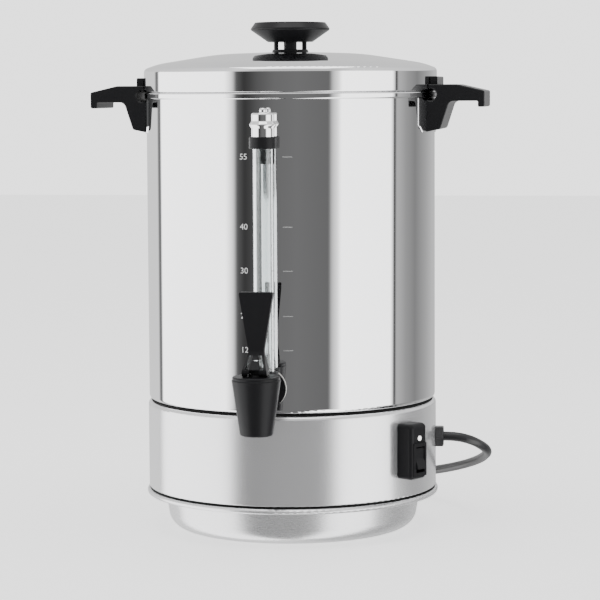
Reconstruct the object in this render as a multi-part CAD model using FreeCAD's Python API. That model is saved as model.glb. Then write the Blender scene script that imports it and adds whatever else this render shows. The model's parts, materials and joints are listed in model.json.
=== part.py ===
import FreeCAD, Part
import math
import os

# Coffee urn: percolating drink dispenser, millimetres, +Z up.
# The origin is on the urn's axis at the table. The faucet faces -Y and the handles lie along X.
# A piece on the side is drawn as if at the faucet, outwards along -Y, and turned to its azimuth.

os.makedirs("parts", exist_ok=True)
V = FreeCAD.Vector
UP = V(0, 0, 1)
RIGHT = V(1, 0, 0)
OUTWARD = V(0, -1, 0)
ORIGIN = V(0, 0, 0)
FULL_TURN = 360

# Fits
running_fit = 0.05
easy_fit = 0.3
slip_fit = 0.5
seat_gap = 0.2

# Tank
tank_radius = 118.0
tank_wall = 1.0
seam_height = 107.2
tank_height = 250.4
tank_corner = 3.4
well_radius = 36.0
well_depth = 9.0
well_slope = 7.0
rim_bead = 1.5
rim_bead_height = 5.3
rim_bead_round = 1.3
rim_top = seam_height + tank_height
rim_bottom = rim_top - rim_bead_height

# Base: skirt, foot pan and bottom plate
sheet = 0.8
skirt_stand = 0.8
skirt_shoulder = 3.2
skirt_bottom = 34.4
skirt_flange = 11.0
seam_step = 6.0
seam_drop = 1.6
seam_ring_width = 2.4
hem_ring_width = 1.8
ring_clearance = 1.0
hem_stand = 2.4
hem_top = skirt_bottom - 1.6
hem_bottom = hem_top - 4.4
hem_round = 2.0
groove_depth = 3.4
foot_radius = tank_radius - 14.0
foot_corner = 14.0
foot_taper = 3.5
foot_spread = 1.5
foot_ring = 24.0
foot_step = 3.0
foot_flange = 8.0
plate_margin = 2.0
dish_radius = 15.0
dish_height = 9.0
plate_vents = 16
vent_radius = 2.5
vent_circle = 48.0
plate_screws = 3
plate_screw_inset = 5.4
screw_radius = 2.0
screw_head_radius = 4.0
screw_head_height = 2.0
plate_screw_length = 9.0

# Heating set under the tank
tie_rod_radius = 4.0
nut_across_flats = 13.0
nut_height = 5.0
weld_pad_radius = 8.0
weld_pad_height = 2.0
pump_element_radius = 22.0
pump_element_tube = 3.6
warm_element_radius = tank_radius - 56.0
warm_element_tube = 3.2
clamp_sheet = 1.2
clamp_radius = warm_element_radius + 8.0
shield_radius = tank_radius - 30.0
shield_lead_hole = 5.0
thermostat_blade = 8.0
shield_drop = 22.0
shield_rim = 8.0
thermostat_radius = 12.0
thermostat_height = 9.0
thermostat_place = tank_radius - 34.0
thermostat_azimuth = 140.0
fuse_radius = 2.2
fuse_length = 16.0
fuse_azimuth = 215.0
terminal_block_size = (22.0, 14.0, 12.0)
terminal_block_place = tank_radius - 56.0
wire_radius = 1.3

# Lid and knob
lid_stand = 0.3
lid_seat = 0.15
lid_band = 18.8
lid_shoulder = 4.0
dome_edge_rise = 4.3
dome_edge_radius = 108.0
dome_mid_rise = 11.9
dome_mid_radius = 60.0
dome_rise = 13.6
spigot_gap = 0.8
spigot_depth = 8.6
knob_plate_radius = 15.5
knob_plate_height = 2.0
knob_neck_radius = 13.5
knob_neck_wall = 2.6
knob_neck_height = 6.2
knob_rib = 9.4
knob_boss_radius = 4.2
knob_under_radius = 18.4
knob_radius = 32.85
knob_flare = 10.1
knob_top_radius = 28.8
knob_chamfer = 5.8
knob_screw_bite = 11.0

# Percolator
stem_radius = 4.75
stem_wall = 0.8
stem_headroom = 14.0
stem_foot_radius = 31.0
stem_foot_height = 24.0
stem_foot_top = 8.0
stem_collar_radius = 11.0
stem_collar_height = 3.0
basket_radius = tank_radius - 42.0
basket_height = 64.0
basket_rim = 3.0
basket_drop = 68.0
basket_tube = 26.0
cover_lip = 4.0
perforation_radius = 1.3
basket_rings = (0.29, 0.47, 0.66, 0.84)
perforation_pitch = 9.5

# Faucet
shank_height = seam_height + 20.8
shank_radius = 9.6
shank_bore = 5.0
gauge_reach = tank_radius + 13.0
shank_inside = 12.0
shank_nut_flats = 26.0
shank_nut_height = 6.0
gasket_thickness = 2.0
shank_flange_radius = 15.0
shank_flange = 3.5
faucet_reach = gauge_reach + 36.0
faucet_top = shank_height + 13.0
faucet_bottom = shank_height - 29.8
faucet_top_radius = 18.9
faucet_bottom_radius = 12.6
chamber_radius = 12.0
chamber_floor = shank_height - 20.0
outlet_radius = 6.5
joint_boss_radius = 12.6
joint_boss_reach = 20.0
joint_depth = 6.0
bonnet_rim = 18.3
bonnet_thickness = 2.4
bonnet_nose_radius = 5.6
bonnet_nose = 1.6
bonnet_plug = 8.0
spring_radius = 6.0
spring_wire = 0.9
spring_pitch = 4.4
seat_cup_radius = 9.6
seat_cup_height = 9.0
valve_rod_radius = 3.0
valve_disc_radius = 5.0
valve_disc = 2.0
valve_eye_width = 7.4
valve_eye_rise = 3.4

# Lever
pin_height = 4.0
pin_radius = 1.2
heel_offset = 5.0
lever_top_height = 59.8
lever_top_half = 13.2
lever_neck_height = 14.8
lever_neck_half = 5.8
lever_foot_half = 9.6
lever_thickness = 6.0
lever_lean = -2.8
window_top_height = 12.0
window_bottom_height = 1.6
window_top_inner = 2.1
window_top_outer = 4.7
window_bottom_inner = 4.1
window_bottom_outer = 7.0
stem_slot_half = 3.9
stem_slot_height = 8.6
stem_slot_front = 3.8

# Sight gauge
gauge_tube_radius = 7.95
gauge_tube_wall = 1.5
gauge_socket_radius = 10.8
gauge_socket_top = shank_height + 14.5
gauge_seat = shank_height + 8.0
gauge_seal = 1.2
collar_bottom = rim_top - 43.1
collar_height = 9.2
collar_radius = 10.7
bracket_half = 6.5
bracket_drop = 12.0
cap_radius = 8.75
cap_height = 18.2
cap_bead_radius = 10.6
cap_bead_half = 2.7
cap_bead_place = 9.1
cap_overlap = 1.5
nipple_radius = 2.6
nipple_height = 3.8

# Handles
handle_half = 29.5
handle_bottom_inner = rim_top - 34.2
handle_bottom_outer = rim_top - 30.0
handle_bottom_reach = tank_radius + 8.0
handle_under = rim_top - 7.8
handle_gusset_reach = tank_radius + 15.2
handle_tip_reach = tank_radius + 43.3
handle_lip = 5.3
handle_lip_bottom = rim_top - 12.6
handle_tip_top = rim_top + 0.4
handle_slope_reach = tank_radius + 21.0
handle_top = rim_top + 5.6
upstand_half = 25.0
upstand_top = rim_top + 12.0
upstand_thickness = 3.0
bead_groove = 4.7
handle_edge = 1.0
groove_chamfer = 1.0
handle_root = 12.0
backing_sheet = 0.8
backing_half_angle = 21.0
backing_bottom = rim_top - 33.0
backing_corner = 6.0
handle_screw_spread = 14.0
handle_screw_height = rim_top - 19.6
handle_screw_bite = 8.0

# Switch
switch_azimuth = 58.8
housing_half = 10.3
housing_bottom = hem_top + 17.7
housing_top = housing_bottom + 44.5
housing_reach = tank_radius + 14.5
housing_wall = 2.0
housing_round = 3.6
rocker_height = housing_bottom + 16.0
rocker_half = 5.2
rocker_end = 8.6
rocker_proud = 7.0
rocker_dip = 5.4
rocker_back = 2.0
rocker_back_half = 7.6
rocker_depth = 5.0
rocker_tilt = 9.0
rocker_pin_radius = 1.2
rocker_pin_half = 6.2
switch_window_half = 10.3
switch_body_half = 12.0
switch_body_width = 6.6
bezel_margin = 1.2
bezel_thickness = 1.2
switch_depth = 16.0
terminal_half = 2.4
terminal_length = 7.0
pilot_height = housing_bottom + 33.0
pilot_radius = 1.9
pilot_length = 12.0

# Cord and plug
relief_azimuth = 93.2
relief_height = seam_height - 32.9
relief_radius = 8.0
relief_outside = 6.6
relief_inside = 15.0
relief_tail_radius = 4.6
relief_chamfer = 0.8
cord_radius = 3.8
coil_distance = tank_radius + 54.4
coil_azimuth = 193.2
coil_approach = 25.0
coil_start = 99.2
coil_outer_turn = 42.0
coil_inner_turn = 34.4
coil_stub = 28.0
coil_tail = 34.0
cord_run_out = 10.0
cord_arc_share = 0.49
cord_points = [
    (29.0, 94.3, 71.0),
    (38.4, 97.6, 65.0),
    (44.2, 101.8, 58.8),
    (45.6, 107.4, 53.0),
    (45.6, 114.3, 46.0),
    (45.2, 123.0, 38.5),
    (44.6, 132.8, 31.0),
    (48.4, 142.6, 24.6),
    (56.8, 152.9, 18.0),
    (70.2, 162.3, 12.3),
    (86.1, 170.4, 7.5),
]
plug_length = 34.0
plug_half = 11.5
plug_thickness = 20.0
plug_neck_radius = 5.6
plug_neck_length = 12.0
blade_size = (16.0, 1.5, 6.4)
blade_spacing = 12.7

# Heights and radii that follow from the sizes above
rim_radius = tank_radius + rim_bead
tank_bore = tank_radius - tank_wall
floor_top = seam_height + tank_wall
well_bottom = seam_height - well_depth
well_floor = well_bottom + tank_wall
skirt_radius = tank_radius + skirt_stand
hem_radius = tank_radius + hem_stand
plate_radius = foot_radius - foot_ring - plate_margin
plate_screw_circle = foot_radius - foot_ring - plate_screw_inset
relief_neck_radius = relief_radius - 1.6
bracket_screw_height = collar_bottom - bracket_drop / 2
lid_bottom = rim_top + lid_seat
lid_radius = rim_radius + lid_stand
lid_corner_height = lid_bottom + lid_band
lid_top = lid_corner_height + dome_rise
lid_under = lid_top - sheet
pin_centre_height = faucet_top + bonnet_thickness + pin_height
bonnet_top = faucet_top + bonnet_thickness
plate_top = lid_top + knob_plate_height
knob_under = plate_top + knob_neck_height
knob_widest = knob_under + knob_flare
knob_top = knob_widest + knob_chamfer
basket_floor = rim_top - basket_drop
stem_top = lid_under - stem_headroom
clamp_inner_height = well_bottom - 2 * pump_element_tube
clamp_outer_height = seam_height - 2 * warm_element_tube
shield_height = clamp_inner_height - shield_drop
collar_top = collar_bottom + collar_height
cap_top = collar_top + cap_height
relief_reach = skirt_radius + relief_outside


# Building helpers
def corner_arc(before, point, after, radius):
    """The arc of a given radius that rounds a corner, as its start, middle and end."""
    arm_in = (before - point).normalize()
    arm_out = (after - point).normalize()
    half = arm_in.getAngle(arm_out) / 2
    reach = radius / math.tan(half)
    middle = (arm_in + arm_out).normalize()
    centre = point + middle * (radius / math.sin(half))
    return point + arm_in * reach, centre - middle * radius, point + arm_out * reach


def round_wire(points, radii, closed):
    """Straight runs through the points, with a tangent arc at each corner that has a radius."""
    edges = []
    count = len(points)
    starts = []
    for index in range(count):
        inner = closed or 0 < index < count - 1
        if inner and radii[index] > 0:
            before, after = points[index - 1], points[(index + 1) % count]
            starts.append(corner_arc(before, points[index], after, radii[index]))
        else:
            starts.append((points[index],))
    for index in range(count):
        if len(starts[index]) == 3:
            edges.append(Part.Arc(*starts[index]).toShape())
        if index + 1 < count or closed:
            leave, arrive = starts[index][-1], starts[(index + 1) % count][0]
            if leave.distanceToPoint(arrive) > 1e-6:
                edges.append(Part.LineSegment(leave, arrive).toShape())
    return Part.Wire(edges)


def profile(path):
    """A face in the XZ plane from (across, height) or (across, height, rounding) points."""
    points = [V(spot[0], 0, spot[1]) for spot in path]
    radii = [spot[2] if len(spot) > 2 else 0 for spot in path]
    return Part.Face(round_wire(points, radii, True))


def turned(path):
    """A solid of revolution about the urn's axis."""
    return profile(path).revolve(ORIGIN, UP, FULL_TURN)


def shifted(path, distance):
    """The same path moved sideways, to its left when positive; corner roundings follow."""
    moved = []
    last = len(path) - 1
    for index, spot in enumerate(path):
        here = V(spot[0], spot[1], 0)
        ahead = path[min(index + 1, last)]
        behind = path[max(index - 1, 0)]
        leaving = V(ahead[0], ahead[1], 0) - here
        coming = here - V(behind[0], behind[1], 0)
        leaving = (leaving if index < last else coming).normalize()
        coming = (coming if index > 0 else leaving).normalize()
        left_in = V(-coming.y, coming.x, 0)
        left_out = V(-leaving.y, leaving.x, 0)
        side = (left_in + left_out) * (distance / (1 + left_in.dot(left_out)))
        rounding = spot[2] if len(spot) > 2 else 0
        if rounding > 0:
            tighter = math.copysign(1, coming.cross(leaving).z) * distance
            rounding = max(rounding - tighter, 0.1)
        moved.append((here.x + side.x, here.y + side.y, rounding))
    return moved


def pressed(path, thickness):
    """A turned sheet whose one face follows the path; the sheet lies to its left."""
    return turned(list(path) + list(reversed(shifted(path, thickness))))


def tube(inner, outer, bottom, top):
    """A ring about the urn's axis."""
    return turned([(inner, bottom), (outer, bottom), (outer, top), (inner, top)])


def rod(start, direction, radius, length):
    return Part.makeCylinder(radius, length, start, direction)


def block(half_width, near, far, bottom, top):
    """A box at the faucet's side, between two distances from the urn's axis."""
    return Part.makeBox(2 * half_width, far - near, top - bottom, V(-half_width, -far, bottom))


def slab(path, half_width):
    """A prism at the faucet's side from (distance from the axis, height, rounding) points."""
    points = [V(-half_width, -spot[0], spot[1]) for spot in path]
    radii = [spot[2] if len(spot) > 2 else 0 for spot in path]
    return Part.Face(round_wire(points, radii, True)).extrude(RIGHT * (2 * half_width))


def hexagon(across_flats, start, direction, height):
    """A nut's outer shape."""
    corner = across_flats / math.sqrt(3)
    points = [V(corner * math.cos(math.radians(angle)), corner * math.sin(math.radians(angle)), 0)
              for angle in range(0, FULL_TURN, 60)]
    prism = Part.Face(round_wire(points, [0] * 6, True)).extrude(UP * height)
    prism.Placement = FreeCAD.Placement(start, FreeCAD.Rotation(UP, direction))
    return prism


def at_azimuth(shape, azimuth):
    """Turns a shape drawn at the faucet's side to its place round the urn."""
    placed = shape.copy()
    placed.rotate(ORIGIN, UP, azimuth)
    return placed


def beside(distance, azimuth, height):
    """A point at a distance from the urn's axis."""
    turn = math.radians(azimuth)
    return V(distance * math.sin(turn), -distance * math.cos(turn), height)


def ring_of(shape, count, first=0.0):
    """Copies of a shape, evenly round the urn's axis."""
    return [at_azimuth(shape, first + FULL_TURN * index / count) for index in range(count)]


def swept(points, radius):
    """A round tube along straight runs and tangent arcs; prints its arc radii."""
    radii = [0.0]
    for before, point, after in zip(points, points[1:], points[2:]):
        run_in, run_out = point - before, after - point
        turn = run_in.getAngle(run_out)
        shorter = min(run_in.Length, run_out.Length)
        radii.append(cord_arc_share * shorter / math.tan(turn / 2) if turn > 0.01 else 0.0)
    radii.append(0.0)
    path = round_wire(points, radii, False)
    first_run = points[1] - points[0]
    section = Part.Wire(Part.makeCircle(radius, points[0], first_run))
    solid = path.makePipeShell([section], True, False)
    print("tube length", round(path.Length, 1), "radii", [round(r, 1) for r in radii[1:-1]],
          "volume ratio", round(solid.Volume / (math.pi * radius ** 2 * path.Length), 4))
    return solid


nodes = {}


def keep(name, *solids):
    """Names a piece; several solids are a group of like pieces."""
    nodes[name] = solids[0] if len(solids) == 1 else Part.makeCompound(list(solids))


# Tank: drawn cup with a heating well, and a rolled bead at its rim
def make_tank():
    path = [(0, well_bottom), (well_radius, well_bottom, 5),
            (well_radius + well_slope, seam_height, 5),
            (tank_radius, seam_height, tank_corner), (tank_radius, rim_top)]
    cup = pressed(path, tank_wall)
    bead = turned([(tank_bore, rim_bottom), (rim_radius, rim_bottom, rim_bead_round),
                   (rim_radius, rim_top, rim_bead_round), (tank_bore, rim_top)])
    tank = cup.fuse(bead).removeSplitter()
    holes = [rod(V(0, 0, shank_height), OUTWARD, shank_radius + easy_fit, tank_radius + 2),
             rod(V(0, 0, bracket_screw_height), OUTWARD, screw_radius + easy_fit, tank_radius + 2)]
    for azimuth in (90, -90):
        for side in (-1, 1):
            start = V(side * handle_screw_spread, 0, handle_screw_height)
            hole = rod(start, OUTWARD, screw_radius + easy_fit, tank_radius + 2)
            holes.append(at_azimuth(hole, azimuth))
    keep("tank", tank.cut(holes))


# Skirt round the base: shoulder under the tank, lip on the foot pan
def make_base_skirt():
    lip = skirt_radius - groove_depth - 4
    shoulder = seam_height - seam_drop
    path = [(skirt_radius - skirt_flange, seam_height),
            (skirt_radius - seam_step, seam_height, 1.0), (skirt_radius - seam_step, shoulder, 0.1),
            (skirt_radius, shoulder, skirt_shoulder),
            (skirt_radius, skirt_bottom, 1.2), (lip, skirt_bottom)]
    skirt = pressed(path, -sheet)
    opening = block(housing_half - housing_wall - 1, 100, skirt_radius + 2,
                    housing_bottom + housing_wall + 1, housing_top - housing_wall - 1)
    relief_hole = rod(V(0, 0, relief_height), OUTWARD, relief_neck_radius + easy_fit,
                      skirt_radius + 2)
    keep("base_skirt", skirt.cut([at_azimuth(opening, switch_azimuth),
                                  at_azimuth(relief_hole, relief_azimuth)]))


# Black rings that close the gap under the tank's corner and the one above the hem
def make_seam_rings():
    seam_inner = skirt_radius - seam_step + ring_clearance
    keep("seam_ring", tube(seam_inner, seam_inner + seam_ring_width, seam_height - seam_drop,
                           seam_height))
    hem_inner = skirt_radius - groove_depth + ring_clearance
    keep("hem_ring", tube(hem_inner, hem_inner + hem_ring_width, hem_top, skirt_bottom))


# Foot pan: rounded foot, hem bead and the ring that carries the skirt
def make_foot_pan():
    flange = foot_radius - foot_ring
    path = [(flange - foot_flange, foot_step), (flange - 1, foot_step, 1.2),
            (flange + 1, 0, 1.2), (foot_radius - foot_taper, 0, foot_corner),
            (foot_radius + foot_spread, hem_bottom, 2.0), (hem_radius, hem_bottom, hem_round),
            (hem_radius, hem_top, hem_round),
            (skirt_radius - groove_depth, hem_top, 0.9),
            (skirt_radius - groove_depth, skirt_bottom - sheet * 0.5, 0),
            (skirt_radius - groove_depth - 6, skirt_bottom - sheet * 0.5, 0)]
    pan = pressed(path[:-2] + [(skirt_radius - groove_depth, skirt_bottom, 0.9),
                               (skirt_radius - groove_depth - 6, skirt_bottom)], sheet)
    hole = rod(V(0, -plate_screw_circle, 0), UP, screw_radius + easy_fit, 12)
    keep("foot_pan", pan.cut(ring_of(hole, plate_screws, 30)))


# Bottom plate, its vents, its dished centre and its screws
def make_bottom_plate():
    low = foot_step - sheet
    path = [(tie_rod_radius + easy_fit, low + dish_height), (dish_radius, low + dish_height, 2),
            (dish_radius + 6, low, 2), (plate_radius, low)]
    plate = pressed(path, sheet)
    vent = rod(V(0, -vent_circle, 0), UP, vent_radius, 12)
    hole = rod(V(0, -plate_screw_circle, 0), UP, screw_radius + easy_fit, 12)
    keep("bottom_plate", plate.cut(ring_of(vent, plate_vents) + ring_of(hole, plate_screws, 30)))
    head = rod(V(0, -plate_screw_circle, low - screw_head_height + 0.2), UP,
               screw_head_radius, screw_head_height - 0.2)
    shank = rod(V(0, -plate_screw_circle, low), UP, screw_radius, plate_screw_length)
    keep("bottom_screws", *ring_of(head.fuse(shank), plate_screws, 30))


# Tie rod from the tank's well to the bottom plate, with its nut
def make_tie_rod():
    low = foot_step - sheet + dish_height
    length = well_bottom - low + nut_height
    stem = rod(V(0, 0, low - nut_height), UP, tie_rod_radius, length)
    pad = rod(V(0, 0, well_bottom - weld_pad_height), UP, weld_pad_radius, weld_pad_height)
    keep("tie_rod", stem.fuse(pad).removeSplitter())
    nut = hexagon(nut_across_flats, V(0, 0, low - nut_height), UP, nut_height)
    bore = rod(V(0, 0, low - nut_height), UP, tie_rod_radius + running_fit, nut_height)
    keep("tie_nut", nut.cut(bore))


# Heating elements, their clamp, spacer, shield and the two cut-outs
def make_heating_set():
    pump = Part.makeTorus(pump_element_radius, pump_element_tube - 0.1,
                          V(0, 0, well_bottom - pump_element_tube), UP)
    keep("pump_element", pump)
    warm = Part.makeTorus(warm_element_radius, warm_element_tube - 0.1,
                          V(0, 0, seam_height - warm_element_tube), UP)
    keep("warm_element", warm)
    step = clamp_outer_height - clamp_inner_height
    slope_start = well_radius + well_slope / 2
    path = [(tie_rod_radius + easy_fit, clamp_inner_height), (slope_start, clamp_inner_height, 3),
            (slope_start + step, clamp_outer_height, 3), (clamp_radius, clamp_outer_height)]
    keep("element_clamp", pressed(path, -clamp_sheet))
    spacer_top = clamp_inner_height - clamp_sheet
    keep("shield_spacer", tube(tie_rod_radius + easy_fit, weld_pad_radius,
                               shield_height, spacer_top))
    dish = [(tie_rod_radius + easy_fit, shield_height), (shield_radius, shield_height, 4),
            (shield_radius + 3, shield_height + shield_rim)]
    lead_hole = rod(V(0, -thermostat_place, shield_height - 2), UP, shield_lead_hole, 4)
    keep("heat_shield", pressed(dish, -sheet).cut(at_azimuth(lead_hole, thermostat_azimuth)))
    shield_nut = hexagon(nut_across_flats, V(0, 0, shield_height - sheet - nut_height), UP,
                         nut_height)
    keep("shield_nut", shield_nut.cut(rod(ORIGIN, UP, tie_rod_radius + running_fit, rim_top)))
    body = rod(V(0, -thermostat_place, seam_height - thermostat_height), UP,
               thermostat_radius, thermostat_height)
    blades = [Part.makeBox(6, 1, thermostat_blade,
                           V(offset - 3, -thermostat_place - 0.5,
                             seam_height - thermostat_height - thermostat_blade))
              for offset in (-7, 7)]
    keep("thermostat", at_azimuth(body.fuse(blades), thermostat_azimuth))
    fuse_start = V(-fuse_length / 2, -thermostat_place, seam_height - fuse_radius)
    keep("thermal_fuse", at_azimuth(rod(fuse_start, RIGHT, fuse_radius, fuse_length),
                                    fuse_azimuth))


# Terminal block on the bottom plate, and the leads inside the base
def make_wiring():
    length, depth, height = terminal_block_size
    box = Part.makeBox(length, depth, height,
                       V(-length / 2, -terminal_block_place - depth / 2, foot_step))
    keep("terminal_block", at_azimuth(box, relief_azimuth))
    top = foot_step + height + seat_gap
    turn = math.radians(relief_azimuth)
    switch_turn = math.radians(switch_azimuth)
    block_spot = beside(terminal_block_place, relief_azimuth, top)
    relief_spot = beside(skirt_radius - relief_inside, relief_azimuth, relief_height)
    switch_end = housing_reach - switch_depth - terminal_length - seat_gap
    switch_spot = beside(switch_end, switch_azimuth, rocker_height)
    stat_spot = beside(thermostat_place, thermostat_azimuth,
                       seam_height - thermostat_height - thermostat_blade - seat_gap)
    inward = V(-math.sin(turn), math.cos(turn), 0)
    switch_inward = V(-math.sin(switch_turn), math.cos(switch_turn), 0)
    lead_in = [relief_spot, relief_spot + inward * 5, relief_spot + inward * 5 - UP * 36,
               block_spot + UP * 14, block_spot]
    lead_switch = [switch_spot, switch_spot + switch_inward * 8,
                   beside(tank_radius - 37, 74, relief_height / 2), block_spot + V(3, -8, 0) + UP * 14, block_spot + V(3, -8, 0)]
    lead_stat = [block_spot + V(-3, 8, 0), block_spot + V(-3, 8, 0) + UP * 16,
                 stat_spot - UP * 42, stat_spot]
    keep("leads", *[swept(route, wire_radius) for route in (lead_in, lead_switch, lead_stat)])


# Faucet shank with the gauge socket, sealed through the tank wall
def make_faucet_shank():
    inner_end = tank_bore - shank_inside
    outer_end = faucet_reach - joint_boss_reach + joint_depth
    flange_start = tank_radius + gasket_thickness
    start = V(0, -inner_end, shank_height)
    pipe = rod(start, OUTWARD, shank_radius, outer_end - inner_end)
    flange = rod(V(0, -flange_start, shank_height), OUTWARD, shank_flange_radius, shank_flange)
    socket = rod(V(0, -gauge_reach, shank_height), UP, gauge_socket_radius,
                 gauge_socket_top - shank_height)
    elbow = rod(V(0, -gauge_reach - gauge_socket_radius, shank_height), -OUTWARD,
                gauge_socket_radius, gauge_socket_radius + gauge_reach - flange_start)
    solid = pipe.fuse([flange, socket, elbow]).removeSplitter()
    bores = [rod(start, OUTWARD, shank_bore, outer_end - inner_end),
             rod(V(0, -gauge_reach, shank_height), UP, shank_bore, gauge_seat - shank_height),
             rod(V(0, -gauge_reach, gauge_seat), UP, gauge_tube_radius + running_fit,
                 gauge_socket_top - gauge_seat)]
    keep("faucet_shank", solid.cut(bores))


# Shank gasket outside, washer and nut inside the tank
def make_shank_fastening():
    def ring(near, far, inner, outer):
        whole = rod(V(0, -near, shank_height), OUTWARD, outer, far - near)
        return whole.cut(rod(V(0, -near, shank_height), OUTWARD, inner, far - near))

    hole = shank_radius + running_fit
    outer_ring = ring(tank_radius - 2, tank_radius + gasket_thickness, hole, shank_flange_radius)
    tank_outside = Part.makeCylinder(tank_radius, rim_top)
    keep("shank_gasket", outer_ring.cut(tank_outside))
    inner_ring = ring(tank_bore - gasket_thickness, tank_radius, hole, shank_flange_radius - 0.5)
    tank_inside = Part.makeCylinder(tank_bore, rim_top)
    keep("shank_washer", inner_ring.common(tank_inside))
    nut_far = tank_bore - gasket_thickness
    nut = hexagon(shank_nut_flats, V(0, -nut_far + shank_nut_height, shank_height), OUTWARD,
                  shank_nut_height)
    keep("shank_nut", nut.cut(rod(V(0, 0, shank_height), OUTWARD, hole, tank_radius)))


def faucet_axis(height):
    return V(0, -faucet_reach, height)


def on_faucet(path):
    """A solid turned about the faucet's own upright axis."""
    solid = turned(path)
    solid.translate(faucet_axis(0))
    return solid


# Faucet body: tapered cup with the valve chamber and outlet
def make_faucet_body():
    cup = on_faucet([(0, faucet_bottom), (faucet_bottom_radius, faucet_bottom, 1.6),
                     (faucet_top_radius, faucet_top, 0.8), (0, faucet_top)])
    boss = rod(V(0, -faucet_reach + joint_boss_reach, shank_height), OUTWARD,
               joint_boss_radius, joint_boss_reach)
    solid = cup.fuse(boss).removeSplitter()
    socket = rod(V(0, -faucet_reach + joint_boss_reach, shank_height), OUTWARD,
                 shank_radius + running_fit, joint_depth)
    passage = rod(V(0, -faucet_reach + joint_boss_reach, shank_height), OUTWARD,
                  shank_bore, joint_boss_reach)
    chamber = rod(faucet_axis(chamber_floor), UP, chamber_radius, faucet_top - chamber_floor)
    outlet = rod(faucet_axis(faucet_bottom), UP, outlet_radius, chamber_floor - faucet_bottom)
    keep("faucet_body", solid.cut([socket, passage, chamber, outlet]))


# Bonnet that closes the chamber and guides the valve rod
def make_bonnet():
    guide = valve_rod_radius + running_fit
    spring_room = spring_radius + spring_wire + slip_fit
    plug = chamber_radius - running_fit
    low = faucet_top - bonnet_plug
    keep("faucet_bonnet", on_faucet([
        (guide, spring_seat()), (guide, bonnet_top + bonnet_nose),
        (bonnet_nose_radius, bonnet_top + bonnet_nose, 0.5), (bonnet_nose_radius + 0.6, bonnet_top),
        (bonnet_rim, bonnet_top, 1.1), (bonnet_rim, faucet_top, 0), (plug, faucet_top),
        (plug, low), (spring_room, low), (spring_room, spring_seat())]))


def spring_seat():
    return faucet_top - 2


# Valve rod with its eye, the soft seat cup and the return spring
def make_valve():
    disc_bottom = chamber_floor + seat_cup_height / 2
    top = pin_centre_height + valve_eye_rise
    stem = rod(faucet_axis(disc_bottom), UP, valve_rod_radius, top - disc_bottom)
    disc = rod(faucet_axis(disc_bottom), UP, valve_disc_radius, valve_disc)
    eye_bottom = bonnet_top + bonnet_nose + seat_gap
    eye = Part.makeBox(valve_eye_width, 2 * valve_rod_radius, top - eye_bottom,
                       V(-valve_eye_width / 2, -faucet_reach - valve_rod_radius, eye_bottom))
    pin_hole = rod(V(-valve_eye_width, -faucet_reach, pin_centre_height), RIGHT,
                   pin_radius + running_fit, 2 * valve_eye_width)
    keep("valve_stem", stem.fuse([disc, eye]).removeSplitter().cut(pin_hole))
    cup_top = chamber_floor + seat_cup_height
    cup = on_faucet([(0, chamber_floor), (seat_cup_radius, chamber_floor, 1),
                     (seat_cup_radius, cup_top, 1), (0, cup_top)])
    pocket = rod(faucet_axis(disc_bottom), UP, valve_disc_radius + 0.01, valve_disc + 0.02)
    neck = rod(faucet_axis(disc_bottom), UP, valve_rod_radius + 0.01, seat_cup_height)
    keep("seat_cup", cup.cut([pocket, neck]))
    bottom, height = cup_top + spring_wire, spring_seat() - cup_top - 2 * spring_wire
    helix = Part.makeHelix(spring_pitch, height, spring_radius)
    section = Part.Wire(Part.makeCircle(spring_wire, V(spring_radius, 0, 0), V(0, 1, 0)))
    spring = Part.Wire(helix).makePipeShell([section], True, True)
    spring.translate(faucet_axis(bottom))
    keep("valve_spring", spring)


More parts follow.
